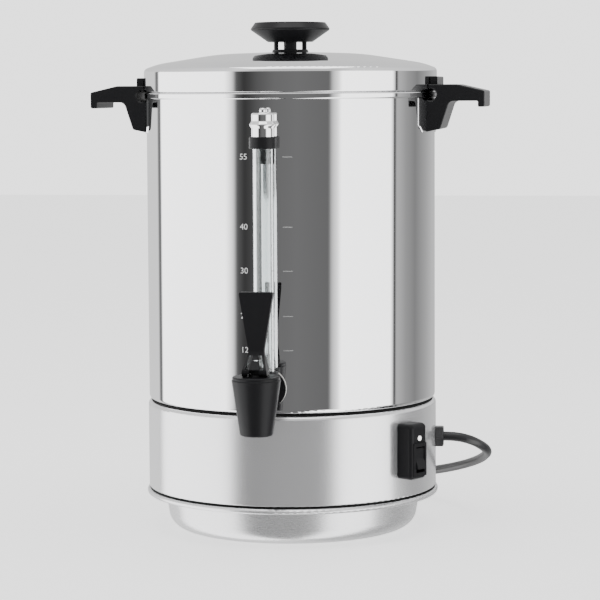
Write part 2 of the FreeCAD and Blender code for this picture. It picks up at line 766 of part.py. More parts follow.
# Lever: paddle, two-legged foot with heels that ride on the bonnet, and its pin
def make_lever():
    centre = pin_centre_height
    deep = 60.0
    front = [(-lever_top_half, centre + lever_top_height, 1.5),
             (lever_top_half, centre + lever_top_height, 1.5),
             (lever_neck_half, centre + lever_neck_height, 12),
             (lever_foot_half, centre, 0), (lever_foot_half, centre - 2 * pin_height, 0),
             (-lever_foot_half, centre - 2 * pin_height, 0), (-lever_foot_half, centre, 0),
             (-lever_neck_half, centre + lever_neck_height, 12)]
    face = profile(front)
    face.translate(V(0, -faucet_reach + deep / 2, 0))
    outline = face.extrude(OUTWARD * deep)
    heel_radius = pin_height - seat_gap
    half = lever_thickness / 2
    top = centre + lever_top_height
    back = faucet_reach - heel_radius
    toe = faucet_reach + heel_offset + heel_radius
    blade = faucet_reach + lever_lean
    side = slab([(blade + half, top + 1, 1.5), (blade - half, top + 1, 1.5),
                 (blade - half, centre + lever_neck_height, 20), (back, centre + 5, 6),
                 (back, centre - heel_radius, heel_radius - 0.05),
                 (toe, centre - heel_radius, heel_radius - 0.05), (toe, centre + 1.6, 3),
                 (blade + half, centre + lever_neck_height - 2, 8)], lever_top_half + 1)
    solid = outline.common(side)
    windows = []
    for sign in (-1, 1):
        corners = [(sign * window_top_inner, centre + window_top_height, 0.5),
                   (sign * window_top_outer, centre + window_top_height, 0.5),
                   (sign * window_bottom_outer, centre + window_bottom_height, 0.5),
                   (sign * window_bottom_inner, centre + window_bottom_height, 0.5)]
        window = profile(corners)
        window.translate(V(0, -faucet_reach + deep / 2, 0))
        windows.append(window.extrude(OUTWARD * deep))
    slot = Part.makeBox(2 * stem_slot_half, deep, stem_slot_height + 2 * pin_height,
                        V(-stem_slot_half, -faucet_reach - stem_slot_front,
                          centre - 2 * pin_height))
    foot_slot = Part.makeBox(2 * (bonnet_nose_radius + 1.0), 2 * deep, pin_height,
                             V(-bonnet_nose_radius - 1.0, -faucet_reach - deep,
                               centre - pin_height - 1.6))
    front_slot = Part.makeBox(2 * stem_slot_half, 2 * deep, pin_height + 3.4,
                              V(-stem_slot_half, -faucet_reach - deep,
                                centre - pin_height - 1.8))
    pin_hole = rod(V(-deep, -faucet_reach, centre), RIGHT, pin_radius + 0.01, 2 * deep)
    keep("lever", solid.cut(windows + [slot, foot_slot, front_slot, pin_hole]))
    keep("lever_pin", rod(V(-lever_foot_half + 0.1, -faucet_reach, centre), RIGHT, pin_radius,
                          2 * lever_foot_half - 0.2))


def on_gauge(path):
    """A solid turned about the sight gauge's axis."""
    solid = turned(path)
    solid.translate(V(0, -gauge_reach, 0))
    return solid


# Sight gauge: clear tube, seals, bracket with its collar and screw, and the cap
def make_gauge():
    bore = gauge_tube_radius - gauge_tube_wall
    bottom = gauge_seat + gauge_seal
    top = collar_top + cap_overlap
    keep("gauge_tube", on_gauge([(bore, bottom), (gauge_tube_radius, bottom),
                                 (gauge_tube_radius, top), (bore, top)]))
    lower = on_gauge([(shank_bore, gauge_seat), (gauge_tube_radius, gauge_seat),
                      (gauge_tube_radius, bottom), (shank_bore, bottom)])
    upper = on_gauge([(shank_bore, top), (gauge_tube_radius, top),
                      (gauge_tube_radius, top + gauge_seal), (shank_bore, top + gauge_seal)])
    keep("gauge_seals", lower, upper)
    collar = on_gauge([(0, collar_bottom), (collar_radius, collar_bottom, 0.8),
                       (collar_radius, collar_top, 0.8), (0, collar_top)])
    arm_reach = gauge_reach - gauge_tube_radius
    arm = block(bracket_half, tank_radius - 3, arm_reach, collar_bottom - bracket_drop,
                collar_top - 0.8)
    bracket = collar.fuse(arm).removeSplitter()
    clear = rod(V(0, -gauge_reach, 0), UP, gauge_tube_radius + running_fit, cap_top)
    screw_bite = arm_reach - 1.2
    screw_hole = rod(V(0, 0, bracket_screw_height), OUTWARD, screw_radius + running_fit,
                     screw_bite + 0.2)
    outside = Part.makeCylinder(tank_radius + running_fit, rim_top)
    keep("gauge_bracket", bracket.cut([clear, screw_hole, outside]))
    keep("bracket_screw", screw_from_inside(0, bracket_screw_height, screw_bite))
    wall = cap_radius - gauge_tube_radius - running_fit
    middle = collar_top + cap_bead_place
    keep("gauge_cap", on_gauge([
        (cap_radius - wall, collar_top), (cap_radius, collar_top),
        (cap_radius, middle - cap_bead_half, 0.8), (cap_bead_radius, middle, 1.2),
        (cap_radius, middle + cap_bead_half, 0.8), (cap_radius, cap_top, 1.4),
        (nipple_radius, cap_top, 0.6), (nipple_radius, cap_top + nipple_height, 1.6),
        (0, cap_top + nipple_height), (0, cap_top - 3), (shank_bore, cap_top - 3),
        (shank_bore, top + gauge_seal), (cap_radius - wall, top + gauge_seal)]))


def screw_from_inside(offset, height, tip):
    """A pan-head screw through the tank wall, drawn at the faucet's side."""
    seat = math.sqrt(tank_bore ** 2 - (abs(offset) + screw_head_radius) ** 2)
    head = rod(V(offset, -seat + screw_head_height, height), OUTWARD, screw_head_radius,
               screw_head_height)
    return head.fuse(rod(V(offset, -seat, height), OUTWARD, screw_radius, tip - seat))


# Handles: grip, gusset and upstand, with a backing plate and two screws each
def make_handles():
    inner = tank_radius - handle_root
    grip = slab([(inner, handle_bottom_inner), (handle_bottom_reach, handle_bottom_outer, 2.5),
                 (handle_gusset_reach, handle_under, 5),
                 (handle_tip_reach - handle_lip, handle_under, 1.0),
                 (handle_tip_reach - handle_lip, handle_lip_bottom, 1.2),
                 (handle_tip_reach, handle_lip_bottom, 1.6),
                 (handle_tip_reach, handle_tip_top, 1.6),
                 (handle_slope_reach, handle_top, 9), (inner, handle_top)], handle_half)
    sides = [edge for edge in grip.Edges if is_side_edge(edge)]
    grip = grip.makeFillet(handle_edge, sides)
    upstand = slab([(lid_radius + slip_fit, handle_top - 4),
                    (lid_radius + slip_fit + upstand_thickness, handle_top - 4),
                    (lid_radius + slip_fit + upstand_thickness, upstand_top, 1.0),
                    (lid_radius + slip_fit, upstand_top, 1.0)], upstand_half)
    wide = slab([(inner, rim_bottom), (lid_radius + slip_fit + upstand_thickness, rim_bottom),
                 (lid_radius + slip_fit + upstand_thickness, upstand_top, 1.0),
                 (inner, upstand_top, 1.0)], upstand_half)
    upstand = upstand.fuse(wide).removeSplitter()
    below = Part.makeCylinder(tank_radius + backing_sheet + 2 * running_fit, rim_bottom + 1)
    above = Part.makeCylinder(lid_radius + slip_fit, rim_top)
    above.translate(V(0, 0, rim_bottom))
    groove = bead_channel()
    holes = [rod(V(side * handle_screw_spread, 0, handle_screw_height), OUTWARD,
                 screw_radius + running_fit, tank_radius + handle_screw_bite + 1)
             for side in (-1, 1)]
    handle = grip.fuse(upstand).removeSplitter().cut([below, above] + groove + holes)
    backing = backing_plate()
    screws = [screw_from_inside(side * handle_screw_spread, handle_screw_height,
                                tank_radius + handle_screw_bite) for side in (-1, 1)]
    for name, azimuth in (("right", 90), ("left", -90)):
        keep("handle_" + name, at_azimuth(handle, azimuth))
        keep("handle_plate_" + name, at_azimuth(backing, azimuth))
        keep("handle_screws_" + name, *[at_azimuth(screw, azimuth) for screw in screws])


def bead_channel():
    """A straight channel that clears the rim bead, with its ends chamfered."""
    middle = V(0, -tank_radius, (rim_bottom + rim_top) / 2)
    parts = [rod(middle - RIGHT * handle_half, RIGHT, bead_groove, 2 * handle_half)]
    for side in (-1, 1):
        mouth = middle + RIGHT * (side * handle_half)
        parts.append(Part.makeCone(bead_groove + groove_chamfer, bead_groove, groove_chamfer,
                                   mouth, RIGHT * -side))
    return parts


def is_side_edge(edge):
    """True for an edge that lies in one of the handle's two side faces."""
    places = [abs(vertex.X) for vertex in edge.Vertexes]
    return all(abs(place - handle_half) < 1e-6 for place in places)


def backing_plate():
    """A thin curved plate between the tank and a handle, its lower corners cut off."""
    inner = tank_radius + running_fit
    half = inner * math.sin(math.radians(backing_half_angle))
    top = rim_bottom - seat_gap
    shell = tube(inner, inner + backing_sheet, backing_bottom, top)
    low = backing_bottom + backing_corner
    outline = [V(-half, 0, top), V(half, 0, top), V(half, 0, low),
               V(half - backing_corner, 0, backing_bottom),
               V(-half + backing_corner, 0, backing_bottom), V(-half, 0, low)]
    window = Part.Face(round_wire(outline, [0, 0, 2, 2, 2, 2], True))
    plate = shell.common(window.extrude(OUTWARD * (2 * tank_radius)))
    holes = [rod(V(side * handle_screw_spread, 0, handle_screw_height), OUTWARD,
                 screw_radius + easy_fit, 2 * tank_radius) for side in (-1, 1)]
    return plate.cut(holes)


# Switch: housing on the skirt, switch body, rocker, pilot lens and lamp
def make_switch():
    box = block(housing_half, skirt_radius - 8, housing_reach, housing_bottom, housing_top)
    front = [edge for edge in box.Edges if is_front_edge(edge)]
    box = box.makeFillet(housing_round, front)
    cavity = block(housing_half - housing_wall, 90, housing_reach - housing_wall,
                   housing_bottom + housing_wall, housing_top - housing_wall)
    window = block(switch_body_width + running_fit, 90, housing_reach + 1,
                   rocker_height - switch_body_half - running_fit,
                   rocker_height + switch_body_half + running_fit)
    lens_hole = rod(V(0, 0, pilot_height), OUTWARD, pilot_radius + running_fit, housing_reach + 1)
    skirt = Part.makeCylinder(skirt_radius + running_fit, seam_height)
    housing = box.cut([cavity, window, lens_hole, skirt])
    keep("switch_housing", at_azimuth(housing, switch_azimuth))

    back = housing_reach - switch_depth
    pivot = housing_reach - rocker_depth
    body = block(switch_body_width, back, housing_reach, rocker_height - switch_body_half,
                 rocker_height + switch_body_half)
    bezel = block(switch_body_width + bezel_margin, housing_reach,
                  housing_reach + bezel_thickness,
                  rocker_height - switch_body_half - bezel_margin,
                  rocker_height + switch_body_half + bezel_margin)
    blades = [block(terminal_half, back - terminal_length, back, rocker_height + offset - 0.4,
                    rocker_height + offset + 0.4) for offset in (-7, 0, 7)]
    pocket = block(rocker_half + easy_fit, pivot - rocker_back - 2, housing_reach + 2,
                   rocker_height - switch_window_half, rocker_height + switch_window_half)
    pin_room = rod(V(-rocker_pin_half - running_fit, -pivot, rocker_height), RIGHT,
                   rocker_pin_radius + running_fit, 2 * rocker_pin_half + 2 * running_fit)
    solid = body.fuse([bezel] + blades).removeSplitter().cut([pocket, pin_room])
    keep("switch_body", at_azimuth(solid, switch_azimuth))

    rocker = slab([(pivot + rocker_dip, rocker_height, 0),
                   (pivot + rocker_proud, rocker_height + rocker_end, 0.8),
                   (pivot - rocker_back, rocker_height + rocker_back_half, 0),
                   (pivot - rocker_back, rocker_height - rocker_back_half, 0),
                   (pivot + rocker_proud, rocker_height - rocker_end, 0.8)], rocker_half)
    pin = rod(V(-rocker_pin_half, -pivot, rocker_height), RIGHT, rocker_pin_radius,
              2 * rocker_pin_half)
    rocker = rocker.fuse(pin).removeSplitter()
    rocker.rotate(V(0, -pivot, rocker_height), RIGHT, -rocker_tilt)
    keep("rocker", at_azimuth(rocker, switch_azimuth))

    lens = rod(V(0, -housing_reach + housing_wall, pilot_height), OUTWARD, pilot_radius,
               housing_wall + 0.6)
    dome = Part.makeSphere(pilot_radius * 1.6, V(0, -housing_reach + pilot_radius * 1.05,
                                                 pilot_height))
    tip = rod(V(0, -housing_reach, pilot_height), OUTWARD, pilot_radius, 3).common(dome)
    keep("pilot_lens", at_azimuth(lens.fuse(tip).removeSplitter(), switch_azimuth))
    lamp = rod(V(0, -housing_reach + housing_wall + seat_gap + pilot_length, pilot_height),
               OUTWARD, pilot_radius - 0.4, pilot_length)
    keep("pilot_lamp", at_azimuth(lamp, switch_azimuth))


def is_front_edge(edge):
    """True for the housing block's edges that belong to its outer face."""
    return all(abs(vertex.Y + housing_reach) < 1e-6 for vertex in edge.Vertexes) or (
        abs(edge.Vertexes[0].Z - edge.Vertexes[-1].Z) < 1e-6
        and abs(abs(edge.Vertexes[0].X) - housing_half) < 1e-6
        and abs(edge.Vertexes[0].X - edge.Vertexes[-1].X) < 1e-6)


# Lid: domed cover with its band and spigot, heat plate, knob and screw
def make_lid():
    path = [(0, lid_top), (knob_plate_radius, lid_top, 100),
            (dome_mid_radius, lid_corner_height + dome_mid_rise, 200),
            (dome_edge_radius, lid_corner_height + dome_edge_rise, 60),
            (lid_radius, lid_corner_height, lid_shoulder), (lid_radius, lid_bottom, 0.9),
            (tank_bore - spigot_gap, lid_bottom, 0.9),
            (tank_bore - spigot_gap, rim_top - spigot_depth)]
    hole = rod(V(0, 0, rim_top), UP, screw_radius + easy_fit, 100)
    keep("lid_shell", pressed(path, -sheet).cut(hole))
    keep("knob_plate", turned([(screw_radius + easy_fit, lid_top), (knob_plate_radius, lid_top, 0.3),
                               (knob_plate_radius - 1, lid_top + 1.0, 0.4),
                               (knob_neck_radius + 1.5, plate_top, 0.6),
                               (screw_radius + easy_fit, plate_top)]))
    cap = turned([(0, knob_under), (knob_under_radius, knob_under, 0.6),
                  (knob_radius, knob_widest, 1.4), (knob_top_radius, knob_top, 1.0),
                  (0, knob_top + 0.3)])
    neck = tube(knob_neck_radius - knob_neck_wall, knob_neck_radius, plate_top, knob_under)
    cross = [Part.makeBox(2 * knob_neck_radius, knob_rib, knob_neck_height,
                          V(-knob_neck_radius, -knob_rib / 2, plate_top)),
             Part.makeBox(knob_rib, 2 * knob_neck_radius, knob_neck_height,
                          V(-knob_rib / 2, -knob_neck_radius, plate_top))]
    ribs = neck.common(cross[0].fuse(cross[1]))
    boss = rod(V(0, 0, plate_top), UP, knob_boss_radius, knob_neck_height)
    thread = rod(V(0, 0, plate_top), UP, screw_radius + running_fit, knob_screw_bite + 0.5)
    knob = cap.fuse([ribs, boss]).removeSplitter().cut(thread)
    knob.rotate(ORIGIN, UP, 12)
    keep("lid_knob", knob)
    head = rod(V(0, 0, lid_under - screw_head_height - 0.2), UP, screw_head_radius + 0.4,
               screw_head_height)
    shank = rod(V(0, 0, lid_under - 0.2), UP, screw_radius,
                sheet + 0.2 + knob_plate_height + knob_screw_bite)
    keep("knob_screw", head.fuse(shank).removeSplitter())


# Percolator: pump stem on its foot, coffee basket and spreader cover
def make_percolator():
    bottom = well_floor + easy_fit
    foot_top = bottom + stem_foot_height
    stem = tube(stem_radius - stem_wall, stem_radius, bottom + 3, stem_top)
    collar = tube(stem_radius - stem_wall, stem_collar_radius,
                  basket_floor - stem_collar_height, basket_floor)
    keep("pump_stem", stem.fuse(collar).removeSplitter())
    keep("stem_foot", pressed([(stem_radius + running_fit, foot_top),
                               (stem_foot_top, foot_top, 1.2),
                               (stem_foot_top + 2, bottom + 8, 6),
                               (stem_foot_radius, bottom)], sheet))
    hub = stem_radius + easy_fit
    wall = [(hub, basket_floor + basket_tube), (hub, basket_floor, 1.2),
            (basket_radius, basket_floor, 4), (basket_radius, basket_floor + basket_height, 1.2),
            (basket_radius + basket_rim, basket_floor + basket_height)]
    basket = pressed(wall, sheet)
    keep("basket", basket.cut(perforations(basket_floor - 2)))
    cover_bottom = basket_floor + basket_height + sheet + easy_fit
    cover = pressed([(hub, cover_bottom + cover_lip), (hub, cover_bottom, 1.2),
                     (basket_radius + basket_rim, cover_bottom)], sheet)
    keep("basket_cover", cover.cut(perforations(cover_bottom - 2)))


def perforations(bottom):
    """Small upright holes on rings about the stem."""
    holes = []
    for share in basket_rings:
        radius = share * basket_radius
        count = round(2 * math.pi * radius / perforation_pitch)
        hole = rod(V(0, -radius, bottom), UP, perforation_radius, 6)
        holes += ring_of(hole, count)
    return holes


# Strain relief, free cord, its coil behind the urn, and the plug
def coil_spot(angle, radius, height):
    turn = math.radians(angle)
    centre = beside(coil_distance, coil_azimuth, height)
    return centre + V(radius * math.cos(turn), radius * math.sin(turn), 0)


def make_cord():
    neck = relief_neck_radius
    relief = hexagon(2 * relief_radius, V(0, -skirt_radius - running_fit, relief_height), OUTWARD,
                     relief_outside - running_fit)
    rim = [edge for edge in relief.Edges if abs(edge.BoundBox.YMin + relief_reach) < 1e-6
           and edge.BoundBox.YLength < 1e-6]
    relief = relief.makeChamfer(relief_chamfer, rim)
    tail = Part.makeCone(neck, relief_tail_radius, relief_inside,
                         V(0, -skirt_radius - running_fit, relief_height), V(0, 1, 0))
    keep("strain_relief", at_azimuth(relief.fuse(tail).removeSplitter(), relief_azimuth))

    turn = math.radians(relief_azimuth)
    radial = V(math.sin(turn), -math.cos(turn), 0)
    exit_spot = radial * relief_reach + UP * relief_height
    along = V(math.sin(math.radians(coil_start)), -math.cos(math.radians(coil_start)), 0)
    arrive = coil_spot(coil_start, coil_outer_turn, cord_radius)
    end = arrive + along * coil_stub
    route = [exit_spot, exit_spot + radial * cord_run_out]
    route += [beside(skirt_radius + out, azimuth, height) for out, azimuth, height in cord_points]
    route += [end + along * coil_approach, end]
    keep("cord", swept(route, cord_radius))

    flat = tube(coil_inner_turn - cord_radius, coil_outer_turn + cord_radius, 0, 2 * cord_radius)
    middle = (coil_inner_turn + coil_outer_turn) / 2
    upper = tube(middle - cord_radius, middle + cord_radius, 2 * cord_radius - 1.0,
                 upper_turn() + cord_radius)
    half_space = Part.makeBox(120, 60, 40, V(-60, 0, 0))
    half_space.rotate(ORIGIN, UP, coil_start - 180 + 90)
    ring = flat.fuse(upper.common(half_space)).removeSplitter()
    ring.translate(beside(coil_distance, coil_azimuth, 0))
    stub = rod(arrive, along, cord_radius, coil_stub)
    leave = coil_spot(coil_start + 180, middle, upper_turn())
    tail_end = leave + along * coil_tail
    tail_stub = rod(leave, along, cord_radius, coil_tail)
    keep("cord_coil", ring.fuse([stub, tail_stub]).removeSplitter())
    make_plug(tail_end, along)


def upper_turn():
    """Height of the turn that lies in the groove between the two lower turns."""
    gap = (coil_outer_turn - coil_inner_turn) / 2
    return cord_radius + math.sqrt((2 * cord_radius) ** 2 - gap ** 2)


def make_plug(start, along):
    """Moulded two-blade plug lying on the table, drawn along +X and turned to its line."""
    heading = math.degrees(math.atan2(along.y, along.x))
    sleeve = Part.makeCone(cord_radius + 1.0, plug_neck_radius, plug_neck_length, ORIGIN, RIGHT)
    outline = [V(plug_neck_length - 2, -plug_neck_radius - 1, 0),
               V(plug_neck_length + plug_length, -plug_half, 0),
               V(plug_neck_length + plug_length, plug_half, 0),
               V(plug_neck_length - 2, plug_neck_radius + 1, 0)]
    face = Part.Face(round_wire(outline, [2.5, 2.5, 2.5, 2.5], True))
    body = face.extrude(UP * plug_thickness)
    body.translate(V(0, 0, -plug_thickness / 2))
    body = body.makeFillet(3.0, [edge for edge in body.Edges
                                 if abs(abs(edge.BoundBox.ZMin) - plug_thickness / 2) < 1e-6
                                 and edge.BoundBox.ZLength < 1e-6])
    length, thickness, width = blade_size
    blades = [Part.makeBox(length, thickness, width,
                           V(plug_neck_length + plug_length,
                             side * blade_spacing / 2 - thickness / 2, -width / 2))
              for side in (-1, 1)]
    placement = FreeCAD.Placement(start, FreeCAD.Rotation(UP, heading))
    whole = sleeve.fuse(body).removeSplitter()
    whole.Placement = placement
    for blade in blades:
        blade.Placement = placement.multiply(blade.Placement)
    keep("plug_body", whole)
    keep("plug_blades", *blades)


make_tank()
make_base_skirt()
make_seam_rings()
make_foot_pan()
make_bottom_plate()
make_tie_rod()
make_heating_set()
make_wiring()
make_faucet_shank()
make_shank_fastening()
make_faucet_body()
make_bonnet()
make_valve()
make_lever()
make_gauge()
make_handles()
make_switch()
make_lid()
make_percolator()
make_cord()

for name, shape in nodes.items():
    if not shape.isValid():
        print("invalid:", name)
    shape.exportStep("parts/" + name + ".step")
print(len(nodes), "nodes")
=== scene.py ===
import json
import math

import bmesh
import bpy
from mathutils import Matrix, Vector


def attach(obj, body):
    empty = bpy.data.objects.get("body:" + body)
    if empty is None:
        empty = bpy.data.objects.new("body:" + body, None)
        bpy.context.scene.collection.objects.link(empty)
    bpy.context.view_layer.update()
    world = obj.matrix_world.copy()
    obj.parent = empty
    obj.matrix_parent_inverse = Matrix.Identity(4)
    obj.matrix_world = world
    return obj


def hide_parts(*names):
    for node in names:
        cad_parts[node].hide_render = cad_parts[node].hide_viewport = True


# Coffee urn, metres, +Z up: the origin is on the urn's axis at the table, the faucet faces -Y.
# A piece on the side is drawn at the faucet's side and turned to its azimuth.

MM = 0.001
NOISE_DETAIL = 3.0
GLASS_IOR = 1.47

# Camera, in the frame whose -Y points at it
CAMERA_AZIMUTH = 9.2
CAMERA_PLACE = (6.8, -1914.0, 358.9)
CAMERA_PITCH = 5.15
CAMERA_ROLL = -0.32
CAMERA_LENS = 139.56
SENSOR_WIDTH = 36.0
CLIP_NEAR = 0.05
CLIP_FAR = 30.0

# Azimuth from the camera in degrees, and how light the studio is there: up to the height of the
# lid, and above it
WALL_BANDS = (
    (-180, 1.1), (-132.5, 1.2), (-130.5, 0.22), (-126.5, 0.22), (-124, 3.6), (-52.5, 3.4),
    (-46, 1.3), (-43.5, 0.35), (-42, 0.12), (-36, 0.05), (-31, 0.075), (-26, 0.11),
    (-12, 0.17), (5, 0.19), (30.5, 0.165), (33, 0.8), (37.5, 1.7), (40.5, 3.6), (86, 3.4),
    (88.5, 1.2), (89.3, 0.06), (91, 0.06), (92.5, 0.6), (95, 0.6), (104, 0.4), (117, 0.27),
    (136, 0.48), (152, 0.70), (175, 0.8), (180, 1.1),
)
CEILING_BANDS = (
    (-180, 0.95), (-130, 1.1), (-50, 1.3), (-30, 0.8), (30, 0.8), (50, 1.3), (130, 1.0),
    (180, 0.95),
)
CEILING_FROM = 3.5
CEILING_TO = 7.0
BAND_LEAN = -0.2
BACKDROP = 2.3

# Floor and lamp, metres and watts; the lamp's place and target are in millimetres
FLOOR_HALF = 6
FLOOR_COLOR = (0.9, 0.9, 0.9)
FLOOR_ROUGHNESS = 0.8
FLOOR_SPECULAR = 0.1
FLOOR_GLOW = 1.0
LAMP_PLACE = (0, -300, 1900)
LAMP_TARGET = (0, 0, 200)
LAMP_SIZE = (1.4, 1.4)
LAMP_POWER = 14

# Printed marks on the tank, left and right of the gauge
TANK_RADIUS = 118.0
CUP_MARKS = ((55, 307.8), (40, 253.6), (30, 219.4), (20, 184.2), (12, 157.5))
MARK_AZIMUTH = -8.8
MARK_HEIGHT = 4.5
MARK_CAP_SHARE = 0.70
TICK_AZIMUTH = 8.0
TICK_WIDTH = 7.6
TICK_HEIGHT = 0.7
TICK_STEPS = 6
PRINT_LIFT = 0.03

# Cord: where it leaves, its route past the urn (outwards from the skirt, azimuth, height),
# and the coil behind the urn
CORD_RADIUS = 3.8
SKIRT_RADIUS = 118.8
RELIEF_AZIMUTH = 93.2
RELIEF_REACH = 125.4
RELIEF_HEIGHT = 74.3
CORD_RUN_OUT = 10.0
CORD_ROUTE = (
    (29.0, 94.3, 71.0), (38.4, 97.6, 65.0), (44.2, 101.8, 58.8), (45.6, 107.4, 53.0),
    (45.6, 114.3, 46.0), (45.2, 123.0, 38.5), (44.6, 132.8, 31.0), (48.4, 142.6, 24.6),
    (56.8, 152.9, 18.0), (70.2, 162.3, 12.3), (86.1, 170.4, 7.5),
)
COIL_DISTANCE = 172.4
COIL_AZIMUTH = 193.2
COIL_START = 99.2
COIL_APPROACH = 25.0
COIL_STUB = 28.0
COIL_TAIL = 34.0
COIL_STEP = 18
COIL_OUTER = 42.0
COIL_INNER = 34.4
COIL_UPPER = 38.2
COIL_UPPER_HEIGHT = 10.4
COIL_CLIMB = 37.5
COIL_CLIMB_HEIGHT = 11.3
# Along the coil: turned angle, radius and height; the last half turn lies in the groove
COIL_KEYS = (
    (0, COIL_OUTER, CORD_RADIUS), (280, COIL_OUTER, CORD_RADIUS),
    (345, COIL_INNER, CORD_RADIUS), (600, COIL_INNER, CORD_RADIUS),
    (652, COIL_CLIMB, COIL_CLIMB_HEIGHT), (710, COIL_UPPER, COIL_CLIMB_HEIGHT),
    (730, COIL_UPPER, COIL_UPPER_HEIGHT), (900, COIL_UPPER, COIL_UPPER_HEIGHT),
)
COIL_SWELL = 1.008
PLUG_SLEEVE = 12.0
PLUG_LENGTH = 34.0
PLUG_HALF_WIDTH = 11.5
PLUG_HALF_THICKNESS = 10.0
PLUG_NECK_WIDTH = 8.4
PLUG_RIBS = 5
PLUG_RIB_START = 4
PLUG_RIB_STEP = 3.4
PLUG_RIB_TOP = 9.6
PLUG_RIB_DEPTH = 0.9
PLUG_RIB_ROUND = 4.2
PLUG_OUTLINE_STEPS = 48

# The band round the coil
TIE_ANGLE = 95
TIE_HALF_WIDTH = 1.6
TIE_THICKNESS = 0.7
TIE_SLACK = 0.3
TIE_STEPS = 60
TIE_LOWEST = 0.1
TIE_LOWEST_INSIDE = 0.2
SHARP_ANGLE = 50

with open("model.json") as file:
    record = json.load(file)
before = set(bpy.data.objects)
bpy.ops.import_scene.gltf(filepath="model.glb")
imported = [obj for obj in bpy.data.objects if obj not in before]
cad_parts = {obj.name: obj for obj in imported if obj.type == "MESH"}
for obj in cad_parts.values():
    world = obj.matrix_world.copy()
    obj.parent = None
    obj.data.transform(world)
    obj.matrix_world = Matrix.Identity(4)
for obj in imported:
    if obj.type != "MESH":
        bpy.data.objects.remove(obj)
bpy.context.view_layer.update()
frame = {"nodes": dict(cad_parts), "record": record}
nodes = frame["nodes"]


# Materials
def new_material(name):
    """A node material, its node tree and its Principled shader."""
    material = bpy.data.materials.new(name)
    material.use_nodes = True
    tree = material.node_tree
    return material, tree, tree.nodes["Principled BSDF"]


def link_noise(tree, scale, stretch=(1, 1, 1)):
    """Noise in object coordinates, stretched along the axes."""
    coordinates = tree.nodes.new("ShaderNodeTexCoord")
    mapping = tree.nodes.new("ShaderNodeMapping")
    mapping.inputs["Scale"].default_value = stretch
    noise = tree.nodes.new("ShaderNodeTexNoise")
    noise.inputs["Scale"].default_value = scale
    noise.inputs["Detail"].default_value = NOISE_DETAIL
    tree.links.new(coordinates.outputs["Object"], mapping.inputs["Vector"])
    tree.links.new(mapping.outputs["Vector"], noise.inputs["Vector"])
    return noise.outputs["Fac"]


def spread(tree, value, low, high):
    """Maps a 0 to 1 value to a range."""
    ranged = tree.nodes.new("ShaderNodeMapRange")
    ranged.inputs["To Min"].default_value = low
    ranged.inputs["To Max"].default_value = high
    tree.links.new(value, ranged.inputs["Value"])
    return ranged.outputs["Result"]


def metal(name, color, roughness, stretch=(1, 1, 1), scale=60.0, vary=0.02, bare=1.0):
    """Bare metal whose roughness varies slightly, in streaks where it is stretched."""
    material, tree, shader = new_material(name)
    shader.inputs["Base Color"].default_value = (*color, 1)
    shader.inputs["Metallic"].default_value = bare
    noise = link_noise(tree, scale, stretch)
    tree.links.new(spread(tree, noise, roughness - vary, roughness + vary),
                   shader.inputs["Roughness"])
    return material


def add_bump(tree, shader, height, distance):
    """Roughens the surface by a height pattern."""
    bump = tree.nodes.new("ShaderNodeBump")
    bump.inputs["Strength"].default_value = 1.0
    bump.inputs["Distance"].default_value = distance
    tree.links.new(height, bump.inputs["Height"])
    tree.links.new(bump.outputs["Normal"], shader.inputs["Normal"])


def moulding(name, color, roughness, grain=900.0, depth=0.00001, specular=0.5):
    """Moulded plastic or rubber with a faint surface grain."""
    material, tree, shader = new_material(name)
    shader.inputs["Base Color"].default_value = (*color, 1)
    shader.inputs["Specular IOR Level"].default_value = specular
    noise = link_noise(tree, grain)
    tree.links.new(spread(tree, noise, roughness * 0.85, roughness * 1.15),
                   shader.inputs["Roughness"])
    add_bump(tree, shader, noise, depth)
    return material


def clear(name, color, roughness):
    """Clear glass or plastic."""
    material, tree, shader = new_material(name)
    shader.inputs["Base Color"].default_value = (*color, 1)
    shader.inputs["Transmission Weight"].default_value = 1.0
    shader.inputs["IOR"].default_value = GLASS_IOR
    noise = link_noise(tree, 80.0)
    tree.links.new(spread(tree, noise, roughness, roughness * 2), shader.inputs["Roughness"])
    return material


def glowing(name, color, strength):
    """A lit surface whose brightness varies slightly."""
    material, tree, shader = new_material(name)
    shader.inputs["Base Color"].default_value = (*color, 1)
    shader.inputs["Emission Color"].default_value = (*color, 1)
    noise = link_noise(tree, 300.0)
    tree.links.new(spread(tree, noise, strength * 0.9, strength * 1.1),
                   shader.inputs["Emission Strength"])
    return material


